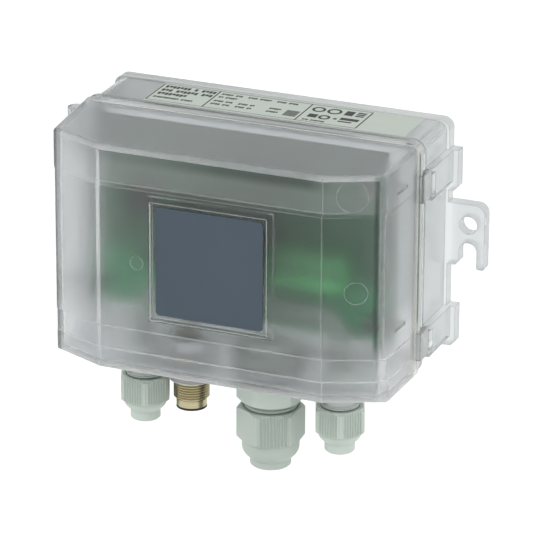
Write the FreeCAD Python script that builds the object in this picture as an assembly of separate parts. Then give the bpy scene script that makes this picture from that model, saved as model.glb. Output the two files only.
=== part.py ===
import FreeCAD, Part
import math
import os

# Wall-mounted pressure sensor: a rear base fixed to the wall by two ears, and a bow-fronted
# translucent front housing that swings on a hinge at the left and snaps shut at the right.
# The front housing carries the circuit board, the pressure ports, the cable gland and the
# round plug connector. Units are millimetres. The wall is the plane y = 0, the front looks
# towards -y, +x is to the right as seen from the front, and +z is up.

V = FreeCAD.Vector

# Housing: half sizes of the seam's outline, the depths of the two halves, and their edges
half_width = 59.5
half_height = 40.0
base_depth = 28.7
front_depth = 37.3
wall = 2.4
edge_radius = 3.5
rim_depth = 4.5
rim_proud = 1.1
rim_rise = 0.4
bead_width = 2.7
bead_proud = 1.2
bead_round = 0.9
seam_gap = 0.2
seam_step = 0.5
overshoot = 1.0
tolerance = 0.001

# Zones of the front housing: inset at the side, inset at the front, fall of the facets
shoulder = (0.5, 0.5, 7.7)
waist = (0.95, 0.0, 7.9)
band = (0.5, 0.6, 8.7)
skirt = (0.05, 1.1, 8.9)
facet_run = 19.75
top_slope = 0.055
low_slope = 0.005
corner_round = 1.6
top_round = 1.4
low_round = 0.5
edge_samples = 5

# Edges of the zones, down from the top of the housing or up from its bottom
shoulder_drop = 14.0
waist_drop = 15.4
waist_lift = 15.3
band_top_lift = 14.9
band_low_lift = 7.2
skirt_lift = 6.8

# Front panel recess and its foil
recess_half = 20.6
recess_depth = 1.2
recess_draft = 0.4
recess_round = 0.5
recess_z = 0.45
recess_backing = 1.3
foil_gap = 1.2
foil_round = 1.4
foil_thickness = 0.25

# Inner lip of the front housing and the gasket that it closes on
lip_length = 2.0
lip_thickness = 1.2
lip_clearance = 0.3
lip_root = 0.8
gasket_width = 2.3
gasket_thickness = 1.4
gasket_nip = 0.1
ledge_thickness = 1.5
ledge_bite = 0.2

# Rating label on the top of the base
label_left_inset = 18.0
label_right_inset = 7.5
label_front_inset = 3.8
label_back = 4.9
label_thickness = 0.2

# Wall ears
ear_length = 14.1
ear_top = 12.0
ear_low = -10.7
ear_round = 3.5
ear_hole_out = 8.3
ear_hole_z = 4.6
ear_hole_radius = 3.1
ear_slot_top = -1.7
prong_chamfer = 1.4

# Snap latches at the right
upper_latch_drop = 9.6
lower_latch_lift = 14.9
tongue_height = 9.6
tongue_proud = 1.8
tongue_root = 1.5
tongue_reach = 4.2
tongue_clearance = 0.3
pad_height = 11.0
pad_proud = 2.5
pad_bite = 1.0
pocket_drop = 1.8
pocket_height = 8.2
pocket_length = 3.4
pocket_depth = 1.6
lug_height = 14.2
lug_proud = 4.3
lug_chamfer = 1.4

# Hinge at the left
hinge_out = 4.1
hinge_ahead = 0.3
upper_hinge_drop = 3.7
lower_hinge_lift = 19.7
hinge_height = 16.0
eye_height = 4.6
knuckle_radius = 3.0
knuckle_relief = 3.4
knuckle_gap = 0.25
leaf_bite = 0.5
leaf_trim = 0.4
hinge_pin_radius = 1.5
hinge_pin_clearance = 0.07

# Entries through the bottom wall
entry_ahead = 17.3
port_left_x = -31.4
port_right_x = 39.05
gland_x = 14.3
plug_x = -14.4
seat_lift = 3.8
pad_drop = 1.2
port_boss_radius = 6.15
port_boss_length = 7.3
gland_pad_radius = 11.6
plug_boss_radius = 7.6
seat_margin = 0.5
press_radius = 4.8

# Pressure port: stub, tube seal and cap nut
thread_pitch = 1.5
port_thread = 6.4
port_thread_depth = 0.8
port_stub_length = 8.6
port_shoulder = 0.6
port_barb_length = 5.6
port_barb_radius = 2.0
port_duct = 1.2
tube_radius = 3.05
tube_depth = 12.0
port_mouth = 3.65
port_seal_radius = 6.2
port_seal_height = 2.4
port_nut_flats = 15.4
port_nut_gap = 1.1
port_nut_hex = 9.2
port_nut_dome = 3.7
port_dome_round = 2.9
port_nut_nose = 3.2
port_nose_radius = 5.1
port_ribs = 8
port_nut_angle = 22.3

# Cable gland: body, washer, locknut, seal and cap nut
gland_thread = 8.95
gland_thread_depth = 1.0
gland_stem = 7.9
gland_stem_rise = 7.7
gland_washer = 1.2
gland_collar_flats = 20.0
gland_collar = 7.7
gland_stub = 10.4
gland_bore = 5.2
gland_throat = 7.0
gland_throat_depth = 6.5
gland_seal_bore = 4.6
gland_seal_head = 8.6
gland_seal_proud = 3.0
gland_locknut_flats = 22.0
gland_locknut_height = 5.0
gland_nut_flats = 20.0
gland_nut_gap = 2.5
gland_nut_hex = 11.6
gland_nut_dome = 7.0
gland_dome_round = 4.4
gland_nut_nose = 2.5
gland_dome_radius = 9.7
gland_nose_radius = 6.95
gland_ribs = 9
gland_nut_angle = 56.8
nut_clearance = 0.15
nut_chamfer = 1.0
nut_lead = 0.45
rib_height = 0.42
rib_share = 0.36

# Round plug connector
plug_stem = 5.3
plug_flange_radius = 6.1
plug_flange = 3.0
plug_thread = 6.0
plug_thread_depth = 0.6
plug_thread_length = 3.6
plug_pitch = 0.9
plug_groove_radius = 4.95
plug_groove = 0.5
plug_neck_radius = 5.2
plug_neck = 3.1
plug_tip = 0.6
plug_washer = 1.0
plug_bore = 4.5
plug_socket = 3.9
plug_socket_depth = 10.8
plug_stem_rise = 5.2
plug_core_rise = 6.2
plug_locknut_flats = 17.0
plug_locknut_height = 4.0
contact_circle = 2.0
contact_radius = 0.5
contact_rise = 2.5
contact_inset = 1.8
lead_radius = 0.6
lead_bends = (2.5, 4.0)

# Circuit board, the posts on side ribs that carry it, and its screws
board_ahead = 9.3
board_thickness = 1.6
board_margin = 8.0
board_drop = 2.8
board_lift = 13.0
board_post_radius = 2.6
board_post_length = 8.5
board_rib = 1.2
screw_inset = 3.0
screw_drop = 8.4
screw_lift = 8.0
screw_radius = 1.15
screw_hole = 1.4
screw_length = 7.0
screw_head = 2.4
screw_head_height = 1.4
screw_slot_width = 0.5
screw_slot_depth = 0.6

# What stands on the board: pressure cell, hoses, terminals, capacitors and chips
cell_gap = 1.2
cell_half = 13.0
cell_lift = 38.0
cell_height = 16.0
cell_depth = 16.0
nipple_spread = 8.0
nipple_drop = 6.0
hose_radius = 3.0
hose_clearance = 0.1
hose_bend = 9.0
hose_gap = 0.6
terminal_inset = 12.0
terminal_pitch = 5.0
terminal_count = 5
terminal_lift = 32.0
terminal_height = 12.0
terminal_depth = 10.0
terminal_hole = 1.6
terminal_hole_ahead = 3.3
terminal_screw = 1.8
terminal_screw_length = 3.3
terminal_screw_drop = 0.6
capacitor_lifts = (3.5, 12.5)
capacitor_gap = 1.5
capacitor_radius = 4.0
capacitor_height = 11.0
chip_places = ((-34.0, 12.0, 12.0, 12.0), (-30.0, -8.0, 9.0, 5.0), (12.0, 26.0, 8.0, 5.0))
chip_height = 1.5

# Places that follow from these sizes
seam = base_depth + seam_gap
front_face = base_depth + front_depth
facet_half = half_width - facet_run
foil_half = recess_half - recess_draft - foil_gap
latch_tops = (half_height - upper_latch_drop, lower_latch_lift - half_height)
tongue_front = seam + tongue_root
tongue_back = base_depth - tongue_reach
hinge_x = -half_width - hinge_out
hinge_y = -base_depth - hinge_ahead
hinge_tops = (half_height - upper_hinge_drop, lower_hinge_lift - half_height)
ear_reach = half_width + ear_length
ear_hole_x = half_width + ear_hole_out
entry_y = -base_depth - entry_ahead
seat_z = seat_lift - half_height
pad_z = -half_height - pad_drop
port_boss_z = -half_height - port_boss_length
port_stub_z = port_boss_z - port_stub_length
port_shoulder_z = seat_z + port_shoulder
port_nut_top = port_boss_z - port_nut_gap
gland_collar_top = pad_z - gland_washer
gland_collar_z = gland_collar_top - gland_collar
gland_stub_z = gland_collar_z - gland_stub
gland_throat_z = gland_stub_z + gland_throat_depth
gland_nut_top = gland_collar_z - gland_nut_gap
plug_thread_top = port_boss_z - plug_flange
plug_thread_low = plug_thread_top - plug_thread_length
plug_groove_z = plug_thread_low - plug_groove
plug_neck_z = plug_thread_low - plug_neck
plug_end = plug_neck_z - plug_tip
plug_core_top = seat_z + plug_core_rise
contact_top = plug_core_top + contact_rise
board_front = base_depth + board_ahead
board_back = board_front - board_thickness
board_half = half_width - board_margin
board_high = half_height - board_drop
board_low = board_lift - half_height
screw_x = board_half - screw_inset
screw_heights = (board_high - screw_drop, board_low + screw_lift)
screw_places = [(side * screw_x, z) for side in (-1, 1) for z in screw_heights]
terminal_right = board_half - terminal_inset
terminal_left = terminal_right - terminal_pitch * terminal_count
terminal_low = terminal_lift - half_height
terminal_high = terminal_low + terminal_height
cell_x = terminal_left - cell_gap - cell_half
cell_low = cell_lift - half_height
cell_high = cell_low + cell_height


def rectangle(half_x, half_z):
    return [(half_x, half_z), (-half_x, half_z), (-half_x, -half_z), (half_x, -half_z)]


def lift(plane, u, v, level):
    places = {"xy": V(u, v, level), "xz": V(u, level, v), "yz": V(level, u, v)}
    return places[plane]


def wire(points, rounds, plane, level):
    """Closed outline with its corners rounded; rounds is one radius or one for each corner."""
    count = len(points)
    radii = rounds if isinstance(rounds, list) else [rounds] * count
    corners = []
    for i in range(count):
        here = V(*points[i], 0)
        if radii[i] == 0:
            corners.append((here, here, here))
            continue
        towards_last = (V(*points[i - 1], 0) - here).normalize()
        towards_next = (V(*points[(i + 1) % count], 0) - here).normalize()
        half = towards_last.getAngle(towards_next) / 2
        cut = radii[i] / math.tan(half)
        inward = (towards_last + towards_next).normalize()
        middle = here + inward * (radii[i] / math.sin(half) - radii[i])
        corners.append((here + towards_last * cut, middle, here + towards_next * cut))
    edges = []
    for i in range(count):
        start, middle, end = [lift(plane, p.x, p.y, level) for p in corners[i]]
        follow = lift(plane, corners[(i + 1) % count][0].x, corners[(i + 1) % count][0].y, level)
        if radii[i] > 0:
            edges.append(Part.Arc(start, middle, end).toShape())
        edges.append(Part.makeLine(end, follow))
    return Part.Wire(edges)


def prism(points, rounds, plane, start, end):
    face = Part.Face(wire(points, rounds, plane, start))
    return face.extrude(lift(plane, 0, 0, end - start))


def box(x, y, z):
    return Part.makeBox(x[1] - x[0], y[1] - y[0], z[1] - z[0], V(x[0], y[0], z[0]))


def post(x, y, radius, low, high):
    return Part.makeCylinder(radius, high - low, V(x, y, low))


def stud(x, z, radius, back, front):
    return Part.makeCylinder(radius, front - back, V(x, -back, z), V(0, -1, 0))


def turned(profile, x, y, rounds=0):
    """Solid of revolution about the vertical line through (x, y); profile is (radius, z)."""
    face = Part.Face(wire([(x + r, z) for r, z in profile], rounds, "xz", y))
    return face.revolve(V(x, y, 0), V(0, 0, 1), 360)


def joined(shapes):
    return shapes[0].multiFuse(shapes[1:]).removeSplitter()


def bead(front, back):
    """Rounded band that stands proud all the way round the seam."""
    outline = rectangle(half_width + bead_proud, half_height + bead_proud)
    band = prism(outline, edge_radius + bead_proud, "xz", -front, -back)
    loops = [edge for edge in band.Edges if edge.BoundBox.YLength < seam_gap]
    return band.makeFillet(bead_round, loops)


def frame(half_x, half_z, width, front, back):
    """Flat rectangular frame of the given width inside half_x by half_z."""
    outer = prism(rectangle(half_x, half_z), edge_radius - wall, "xz", -front, -back)
    inner = prism(rectangle(half_x - width, half_z - width), edge_radius - wall, "xz", -front, -back)
    return outer.cut(inner)


# Rear base

def tray():
    outer = prism(rectangle(half_width, half_height), edge_radius, "xz", -base_depth, 0)
    rim_outline = rectangle(half_width + rim_proud, half_height + rim_rise)
    rim = prism(rim_outline, edge_radius, "xz", -rim_depth, 0)
    lip = bead(base_depth, base_depth - bead_width)
    inside = rectangle(half_width - wall, half_height - wall)
    hollow = prism(inside, edge_radius - wall, "xz", -base_depth - overshoot, -wall)
    return joined([outer, rim, lip]).cut(hollow)


def gasket_ledge():
    front = base_depth - lip_length - gasket_nip - gasket_thickness
    half_x = half_width - wall + ledge_bite
    half_z = half_height - wall + ledge_bite
    return frame(half_x, half_z, gasket_width + 2 * lip_clearance, front, front - ledge_thickness)


def ear(side):
    """Ear with a round hole over an open slot; side is 1 at the right and -1 at the left."""
    root = half_width
    slot_left = ear_hole_x - ear_hole_radius
    slot_right = ear_hole_x + ear_hole_radius
    slot_arc_z = ear_slot_top - ear_hole_radius
    inner_low = ear_low + prong_chamfer / 2
    outline = [(root, ear_top), (root, inner_low), (slot_left - prong_chamfer, inner_low)]
    outline += [(slot_left, inner_low + prong_chamfer), (slot_left, slot_arc_z)]
    outline += [(slot_right, slot_arc_z), (slot_right, ear_low), (ear_reach, ear_low), (ear_reach, ear_top)]
    outer_rounds = [prong_chamfer / 2, prong_chamfer / 2, ear_round]
    rounds = [0] * (len(outline) - len(outer_rounds)) + outer_rounds
    mirrored = [(side * x, z) for x, z in outline]
    plate = prism(mirrored, rounds, "xz", -rim_depth, 0)
    through = rim_depth + overshoot
    slot_end = stud(side * ear_hole_x, slot_arc_z, ear_hole_radius, -overshoot, through)
    hole = stud(side * ear_hole_x, ear_hole_z, ear_hole_radius, -overshoot, through)
    return plate.cut(slot_end).cut(hole)


def latch_pad(top):
    """Raised pad that the tongue closes against, with its pocket and the rear lug."""
    back_of_tongue = tongue_back - tongue_clearance
    pad_face = half_width + pad_proud
    pad_root = half_width - pad_bite
    pad = box((pad_root, pad_face), (-back_of_tongue, pad_bite - rim_depth), (top - pad_height, top))
    pocket_top = top - pocket_drop
    pocket = box((pad_face - pocket_depth, pad_face + overshoot),
                 (-back_of_tongue - overshoot, -back_of_tongue + pocket_length),
                 (pocket_top - pocket_height, pocket_top))
    lug_face = half_width + lug_proud
    lug_low = top - lug_height
    lug_outline = [(half_width, top), (half_width, lug_low), (lug_face - lug_chamfer, lug_low)]
    lug_outline += [(lug_face, lug_low + lug_chamfer), (lug_face, top)]
    lug = prism(lug_outline, 0, "xz", -rim_depth, 0)
    return pad.cut(pocket).fuse(lug)


def tongue_notch(top):
    """Gap in the base's bead where a tongue passes."""
    clear = 2 * tongue_clearance
    return box((half_width, half_width + 2 * bead_proud),
               (-base_depth - overshoot, -tongue_back + tongue_clearance),
               (top - tongue_height - clear, top + clear))


def hinge_spans(top):
    """Heights of the upper eye, the middle knuckle and the lower eye of one hinge."""
    low = top - hinge_height
    upper = (top - eye_height, top)
    lower = (low, low + eye_height)
    middle = (lower[1] + knuckle_gap, upper[0] - knuckle_gap)
    return upper, middle, lower


def hinge_leaf(span, front, back):
    """Knuckle and the web that ties it to the housing wall between two depths."""
    knuckle = post(hinge_x, hinge_y, knuckle_radius, *span)
    web = box((hinge_x, -half_width + leaf_bite), (-front, -back), span)
    return knuckle.fuse(web)


def relief(span):
    """Room around the hinge line for a knuckle of the other half."""
    return post(hinge_x, hinge_y, knuckle_relief, span[0] - knuckle_gap, span[1] + knuckle_gap)


def rear_base():
    solid = joined([tray(), gasket_ledge(), ear(1), ear(-1)] + [latch_pad(top) for top in latch_tops])
    for top in latch_tops:
        solid = solid.cut(tongue_notch(top))
    for top in hinge_tops:
        upper, middle, lower = hinge_spans(top)
        solid = solid.cut(relief(middle))
        for span in (upper, lower):
            solid = solid.fuse(hinge_leaf(span, base_depth, base_depth - knuckle_radius))
        pin_room = (lower[0] - overshoot, upper[1] + overshoot)
        solid = solid.cut(post(hinge_x, hinge_y, hinge_pin_radius, *pin_room))
    return solid.removeSplitter()


def rating_label():
    span = (label_left_inset - half_width, half_width - label_right_inset)
    front = base_depth - label_front_inset
    return box(span, (-front, -label_back), (half_height, half_height + label_thickness))


def seam_gasket():
    back = base_depth - lip_length - gasket_nip - gasket_thickness
    half_x = half_width - wall - lip_clearance + gasket_nip
    half_z = half_height - wall - lip_clearance + gasket_nip
    return frame(half_x, half_z, gasket_width, back + gasket_thickness, back)


def hinge_pins():
    pins = [post(hinge_x, hinge_y, hinge_pin_radius, top - hinge_height, top) for top in hinge_tops]
    return Part.makeCompound(pins)


# Front housing

plan_rounds = [0, 0, corner_round, 0, 0, corner_round]


def front_plan(zone):
    """Plan of one zone, counter-clockwise from the right end of the seam."""
    side_inset, front_inset, facet_fall = zone
    seam_x = half_width + seam_step
    corner_x = half_width - side_inset
    front = front_face - front_inset
    corner = front - facet_fall
    return [(seam_x, -seam), (-seam_x, -seam), (-corner_x, -corner), (-facet_half, -front),
            (facet_half, -front), (corner_x, -corner)]


def inset(points, distances):
    """Polygon with each side moved inwards by its own distance."""
    count = len(points)
    lines = []
    for i in range(count):
        start = V(*points[i], 0)
        along = (V(*points[(i + 1) % count], 0) - start).normalize()
        lines.append((start + V(-along.y, along.x, 0) * distances[i], along))
    moved = []
    for i in range(count):
        a, u = lines[i - 1]
        b, w = lines[i]
        reach = ((b.x - a.x) * w.y - (b.y - a.y) * w.x) / (u.x * w.y - u.y * w.x)
        moved.append((a.x + u.x * reach, a.y + u.y * reach))
    return moved


def wedge(half_at_seam, back, front):
    """Block that tapers towards the front, for the sloping top and bottom walls."""
    length = front - back
    outline = [(-back, half_at_seam), (-front, half_at_seam - top_slope * length)]
    outline += [(-front, low_slope * length - half_at_seam), (-back, -half_at_seam)]
    reach = 2 * half_width
    return prism(outline, 0, "yz", -reach, reach)


def front_outer():
    top = half_height + 2 * seam_step
    levels = [(top, shoulder), (half_height - shoulder_drop, shoulder), (half_height - waist_drop, waist)]
    levels += [(waist_lift - half_height, waist), (band_top_lift - half_height, band)]
    levels += [(band_low_lift - half_height, band), (skirt_lift - half_height, skirt), (-top, skirt)]
    sections = [wire(front_plan(zone), plan_rounds, "xy", z) for z, zone in levels]
    block = Part.makeLoft(sections, True, True)
    block = block.common(wedge(half_height + seam_step, seam, front_face + seam_step))
    for side, slope, radius in ((1, top_slope, top_round), (-1, low_slope, low_round)):
        edges = [edge for edge in block.Edges if on_wall(edge, side, slope)]
        block = block.makeFillet(radius, edges)
    return block


def on_wall(edge, side, slope):
    """True for the outer edges of the top wall (side 1) or bottom wall (side -1), bar the seam's."""
    if edge.BoundBox.YMin > -seam - tolerance:
        return False
    for point in edge.discretize(edge_samples):
        height = half_height + seam_step - slope * (-point.y - seam)
        if abs(side * point.z - height) > tolerance:
            return False
    return True


def front_hollow():
    plan = inset(front_plan(waist), [-overshoot] + [wall] * 5)
    hollow = prism(plan, plan_rounds, "xy", -half_height, half_height)
    return hollow.common(wedge(half_height + seam_step - wall, base_depth - overshoot, front_face))


def recess():
    mouth = rectangle(recess_half, recess_half)
    floor = rectangle(recess_half - recess_draft, recess_half - recess_draft)
    sections = [wire(mouth, recess_round, "xz", -front_face)]
    sections.append(wire(floor, recess_round, "xz", recess_depth - front_face))
    pocket = Part.makeLoft(sections, True, True)
    pocket.translate(V(0, 0, recess_z))
    return pocket


def recess_back():
    """Thickening behind the recess that keeps the wall's strength."""
    half = recess_half + recess_backing
    inner = front_face - wall
    depth = (-inner - recess_backing, -inner + recess_backing)
    return box((-half, half), depth, (recess_z - half, recess_z + half))


def entry_bosses():
    ports = [post(x, entry_y, port_boss_radius, port_boss_z, seat_z) for x in (port_left_x, port_right_x)]
    gland = post(gland_x, entry_y, gland_pad_radius, pad_z, seat_z)
    plug = post(plug_x, entry_y, plug_boss_radius, port_boss_z, seat_z)
    gland_seat = post(gland_x, entry_y, hex_radius(gland_locknut_flats) + seat_margin, pad_z + wall, seat_z)
    plug_seat = post(plug_x, entry_y, hex_radius(plug_locknut_flats) + seat_margin, pad_z + wall, seat_z)
    return ports + [gland, plug, gland_seat, plug_seat]


def entry_holes():
    top = seat_z + overshoot
    low = port_boss_z - overshoot
    ports = [post(x, entry_y, press_radius, low, top) for x in (port_left_x, port_right_x)]
    gland = post(gland_x, entry_y, gland_stem + nut_clearance, pad_z - overshoot, top)
    plug = post(plug_x, entry_y, plug_stem + nut_clearance, low, top)
    return ports + [gland, plug]


def inner_lip():
    half_x = half_width - wall - lip_clearance
    half_z = half_height - wall - lip_clearance
    lip = frame(half_x, half_z, lip_thickness, seam, base_depth - lip_length)
    root = frame(half_x + wall, half_z + wall, lip_thickness + wall, base_depth + lip_root, seam)
    return [lip, root]


def tongue(top):
    low = top - tongue_height
    face = half_width + tongue_proud
    root = box((half_width - wall / 2, face), (-tongue_front, -seam), (low, top))
    hook = box((half_width + tongue_clearance, face), (-seam, -tongue_back), (low, top))
    return root.fuse(hook)


def board_post(x, z):
    """Short post for a board screw, held on the nearer side wall by a thin rib."""
    front = board_front + board_post_length
    holder = stud(x, z, board_post_radius, board_front, front)
    root = math.copysign(half_width - wall / 2, x)
    rib = box(sorted((x, root)), (-front, -board_front), (z - board_rib / 2, z + board_rib / 2))
    return holder.fuse(rib)


def board_post_hole(x, z):
    return stud(x, z, screw_radius, board_front - overshoot, board_front + screw_length)


def front_housing():
    shell = front_outer().fuse(bead(seam + bead_width, seam)).cut(front_hollow())
    for top in hinge_tops:
        upper, middle, lower = hinge_spans(top)
        for span in (upper, lower):
            shell = shell.cut(relief(span))
    posts = [board_post(x, z) for x, z in screw_places]
    solid = joined([shell, recess_back()] + posts + entry_bosses() + inner_lip())
    solid = solid.cut(recess())
    solid = joined([solid] + [tongue(top) for top in latch_tops])
    for hole in entry_holes() + [board_post_hole(x, z) for x, z in screw_places]:
        solid = solid.cut(hole)
    for top in hinge_tops:
        upper, middle, lower = hinge_spans(top)
        solid = solid.fuse(hinge_leaf(middle, seam + knuckle_radius - leaf_trim, seam))
        bore = hinge_pin_radius + hinge_pin_clearance
        solid = solid.cut(post(hinge_x, hinge_y, bore, middle[0] - overshoot, middle[1] + overshoot))
    return solid.removeSplitter()


def front_foil():
    floor = front_face - recess_depth
    foil = prism(rectangle(foil_half, foil_half), foil_round, "xz", -floor - foil_thickness, -floor)
    foil.translate(V(0, 0, recess_z))
    return foil


# Threads and nuts

def hex_radius(flats):
    return flats / math.sqrt(3)


def thread(major, depth, pitch, top, low):
    """Points down the outside of a screw thread, drawn as plain rings."""
    count = round((top - low) / pitch)
    step = (top - low) / count
    points = []
    for i in range(count):
        z = top - i * step
        points += [(major - depth, z), (major, z - step / 2)]
    return points + [(major - depth, low)]


def hexagon(flats, angle, ribs=0, ribbed=()):
    """Corners of a hexagon about the origin, with small ribs along the flats named in ribbed."""
    reach = hex_radius(flats)
    corners = [math.radians(angle - 90 + 60 * i) for i in range(6)]
    points = []
    for i in range(6):
        start = V(reach * math.cos(corners[i]), reach * math.sin(corners[i]), 0)
        end = V(reach * math.cos(corners[i] + math.pi / 3), reach * math.sin(corners[i] + math.pi / 3), 0)
        points.append(start)
        if i not in ribbed:
            continue
        out = (start + end).normalize() * rib_height
        pitch = (end - start) / (ribs + 1)
        for j in range(ribs):
            centre = start + pitch * (j + 1)
            points += [centre - pitch * rib_share, centre + out, centre + pitch * rib_share]
    return points


def hex_block(points, x, y, low, high):
    placed = [p + V(x, y, low) for p in points]
    return Part.Face(Part.makePolygon(placed + placed[:1])).extrude(V(0, 0, high - low))


def chamfered(block, flats, x, y, low, high, at_low, at_high):
    """Hexagonal block with its corners turned off at the low or high end."""
    corner = hex_radius(flats) + rib_height
    flat = flats / 2
    low_radius = flat if at_low else corner
    high_radius = flat if at_high else corner
    profile = [(0, low), (low_radius, low), (corner, low + nut_chamfer)]
    profile += [(corner, high - nut_chamfer), (high_radius, high), (0, high)]
    return block.common(turned(profile, x, y))


def cap_nut(x, flats, angle, ribs, ribbed, top, lengths, dome, dome_round, nose, bore, mouth):
    """Ribbed hexagonal cap nut with a rounded dome and a nose, bored for the stub and the tube.

    lengths are those of the hexagon, the dome and the nose.
    """
    hex_low = top - lengths[0]
    dome_low = hex_low - lengths[1]
    end = dome_low - lengths[2]
    block = hex_block(hexagon(flats, angle, ribs, ribbed), x, entry_y, hex_low, top)
    block = chamfered(block, flats, x, entry_y, hex_low, top, True, True)
    root = hex_low + overshoot
    taper = [(0, root), (dome, root), (dome, dome_low + dome - nose), (nose, dome_low)]
    taper += [(nose, end + nut_lead), (nose - nut_lead, end), (0, end)]
    rounds = [0, 0, dome_round, 0, 0, 0, 0]
    throat = hex_low - 2 * nut_lead
    mouth_high = throat + mouth - bore
    inside = [(0, top + overshoot), (bore, top + overshoot), (bore, throat), (mouth, mouth_high)]
    inside += [(mouth, end - overshoot), (0, end - overshoot)]
    cap = block.fuse(turned(taper, x, entry_y, rounds)).removeSplitter()
    return cap.cut(turned(inside, x, entry_y))


def locknut(x, low, flats, height, bore):
    block = hex_block(hexagon(flats, 0), x, entry_y, low, low + height)
    block = chamfered(block, flats, x, entry_y, low, low + height, False, True)
    return block.cut(post(x, entry_y, bore, low - overshoot, low + height + overshoot))


# Pressure ports

def port_stub(x):
    barb_z = port_shoulder_z + port_barb_length
    tube_stop_z = port_stub_z + tube_depth
    outside = [(port_duct, barb_z), (port_barb_radius, barb_z), (port_barb_radius, port_shoulder_z)]
    outside += [(press_radius, port_shoulder_z), (press_radius, port_boss_z)]
    thread_low = port_nut_top - thread_pitch
    outside += thread(port_thread, port_thread_depth, thread_pitch, port_boss_z, thread_low)
    outside += [(port_thread - port_thread_depth, port_stub_z)]
    bore = [(tube_radius, port_stub_z), (tube_radius, tube_stop_z), (port_duct, tube_stop_z)]
    return turned(outside + bore, x, entry_y)


def port_seal(x):
    low = port_stub_z - port_seal_height
    disc = post(x, entry_y, port_seal_radius, low, port_stub_z)
    return disc.cut(post(x, entry_y, tube_radius, low, port_stub_z))


def port_nut(x):
    lengths = (port_nut_hex, port_nut_dome, port_nut_nose)
    return cap_nut(x, port_nut_flats, port_nut_angle, port_ribs, range(6), port_nut_top, lengths,
                   port_nut_flats / 2 - rib_height, port_dome_round, port_nose_radius,
                   port_thread + nut_clearance, port_mouth)


# Cable gland

def gland_body():
    top = gland_collar_top
    stem_top = seat_z + gland_stem_rise
    collar = hex_block(hexagon(gland_collar_flats, gland_nut_angle), gland_x, entry_y, gland_collar_z, top)
    collar = chamfered(collar, gland_collar_flats, gland_x, entry_y, gland_collar_z, top, True, False)
    root = gland_thread - gland_thread_depth
    outside = [(gland_bore, stem_top), (gland_stem, stem_top), (gland_stem, top), (root, top)]
    outside += thread(gland_thread, gland_thread_depth, thread_pitch, gland_collar_z + thread_pitch,
                      gland_nut_top - thread_pitch)
    outside += [(root, gland_stub_z)]
    bore = [(gland_throat, gland_stub_z), (gland_throat, gland_throat_z), (gland_bore, gland_throat_z)]
    through = post(gland_x, entry_y, gland_bore, gland_collar_z, top)
    return collar.cut(through).fuse(turned(outside + bore, gland_x, entry_y)).removeSplitter()


def gland_washer_ring():
    disc = post(gland_x, entry_y, gland_collar_flats / 2, gland_collar_top, pad_z)
    return disc.cut(post(gland_x, entry_y, gland_stem + nut_clearance, gland_collar_top, pad_z))


def gland_seal():
    clear = gland_throat - nut_clearance / 2
    end = gland_stub_z - gland_seal_proud
    profile = [(gland_seal_bore, gland_throat_z), (clear, gland_throat_z), (clear, gland_stub_z)]
    profile += [(gland_seal_head, gland_stub_z), (gland_seal_head, end + nut_chamfer)]
    profile += [(gland_seal_head - nut_chamfer, end), (gland_seal_bore, end)]
    return turned(profile, gland_x, entry_y)


def gland_locknut():
    bore = gland_stem + nut_clearance
    return locknut(gland_x, seat_z, gland_locknut_flats, gland_locknut_height, bore)


def gland_nut():
    lengths = (gland_nut_hex, gland_nut_dome, gland_nut_nose)
    return cap_nut(gland_x, gland_nut_flats, gland_nut_angle, gland_ribs, (1, 3, 5), gland_nut_top, lengths,
                   gland_dome_radius, gland_dome_round, gland_nose_radius, gland_thread + nut_clearance,
                   gland_bore + nut_clearance)


# Round plug connector

def plug_shell():
    stem_top = seat_z + plug_stem_rise
    outside = [(plug_bore, stem_top), (plug_stem, stem_top), (plug_stem, port_boss_z)]
    outside += [(plug_flange_radius, port_boss_z), (plug_flange_radius, plug_thread_top)]
    outside += thread(plug_thread, plug_thread_depth, plug_pitch, plug_thread_top, plug_thread_low)
    outside += [(plug_groove_radius, plug_thread_low), (plug_groove_radius, plug_groove_z)]
    outside += [(plug_neck_radius, plug_groove_z), (plug_neck_radius, plug_neck_z)]
    outside += [(plug_bore, plug_neck_z)]
    return turned(outside, plug_x, entry_y)


def contact_places():
    turns = [math.radians(45 + 90 * i) for i in range(4)]
    return [(plug_x + contact_circle * math.cos(a), entry_y + contact_circle * math.sin(a)) for a in turns]


def plug_insert():
    socket_z = plug_end + plug_socket_depth
    profile = [(0, plug_core_top), (plug_bore, plug_core_top), (plug_bore, plug_neck_z)]
    profile += [(plug_neck_radius, plug_neck_z), (plug_neck_radius, plug_end), (plug_socket, plug_end)]
    profile += [(plug_socket, socket_z), (0, socket_z)]
    core = turned(profile, plug_x, entry_y)
    for x, y in contact_places():
        core = core.cut(post(x, y, contact_radius, plug_end, plug_core_top + overshoot))
    return core


def plug_contacts():
    low = plug_end + contact_inset
    pins = [post(x, y, contact_radius, low, contact_top) for x, y in contact_places()]
    return Part.makeCompound(pins)


def plug_washer_ring():
    top = seat_z + plug_washer
    disc = post(plug_x, entry_y, plug_locknut_flats / 2, seat_z, top)
    return disc.cut(post(plug_x, entry_y, plug_stem + nut_clearance, seat_z, top))


def plug_locknut():
    low = seat_z + plug_washer
    return locknut(plug_x, low, plug_locknut_flats, plug_locknut_height, plug_stem + nut_clearance)


def lead(x, y, bend):
    """Insulated lead that rises from a contact and turns back to the board."""
    knee = contact_top + lead_radius
    slant = bend * (1 - math.sqrt(0.5))
    start = V(x, y, contact_top)
    rise = V(x, y, knee)
    middle = V(x, y + slant, knee + bend - slant)
    turn = V(x, y + bend, knee + bend)
    end = V(x, -board_front, knee + bend)
    arc = Part.Arc(rise, middle, turn).toShape()
    path = Part.Wire([Part.makeLine(start, rise), arc, Part.makeLine(turn, end)])
    section = Part.Wire(Part.makeCircle(lead_radius, start, V(0, 0, 1)))
    return path.makePipeShell([section], True, True)


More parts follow.
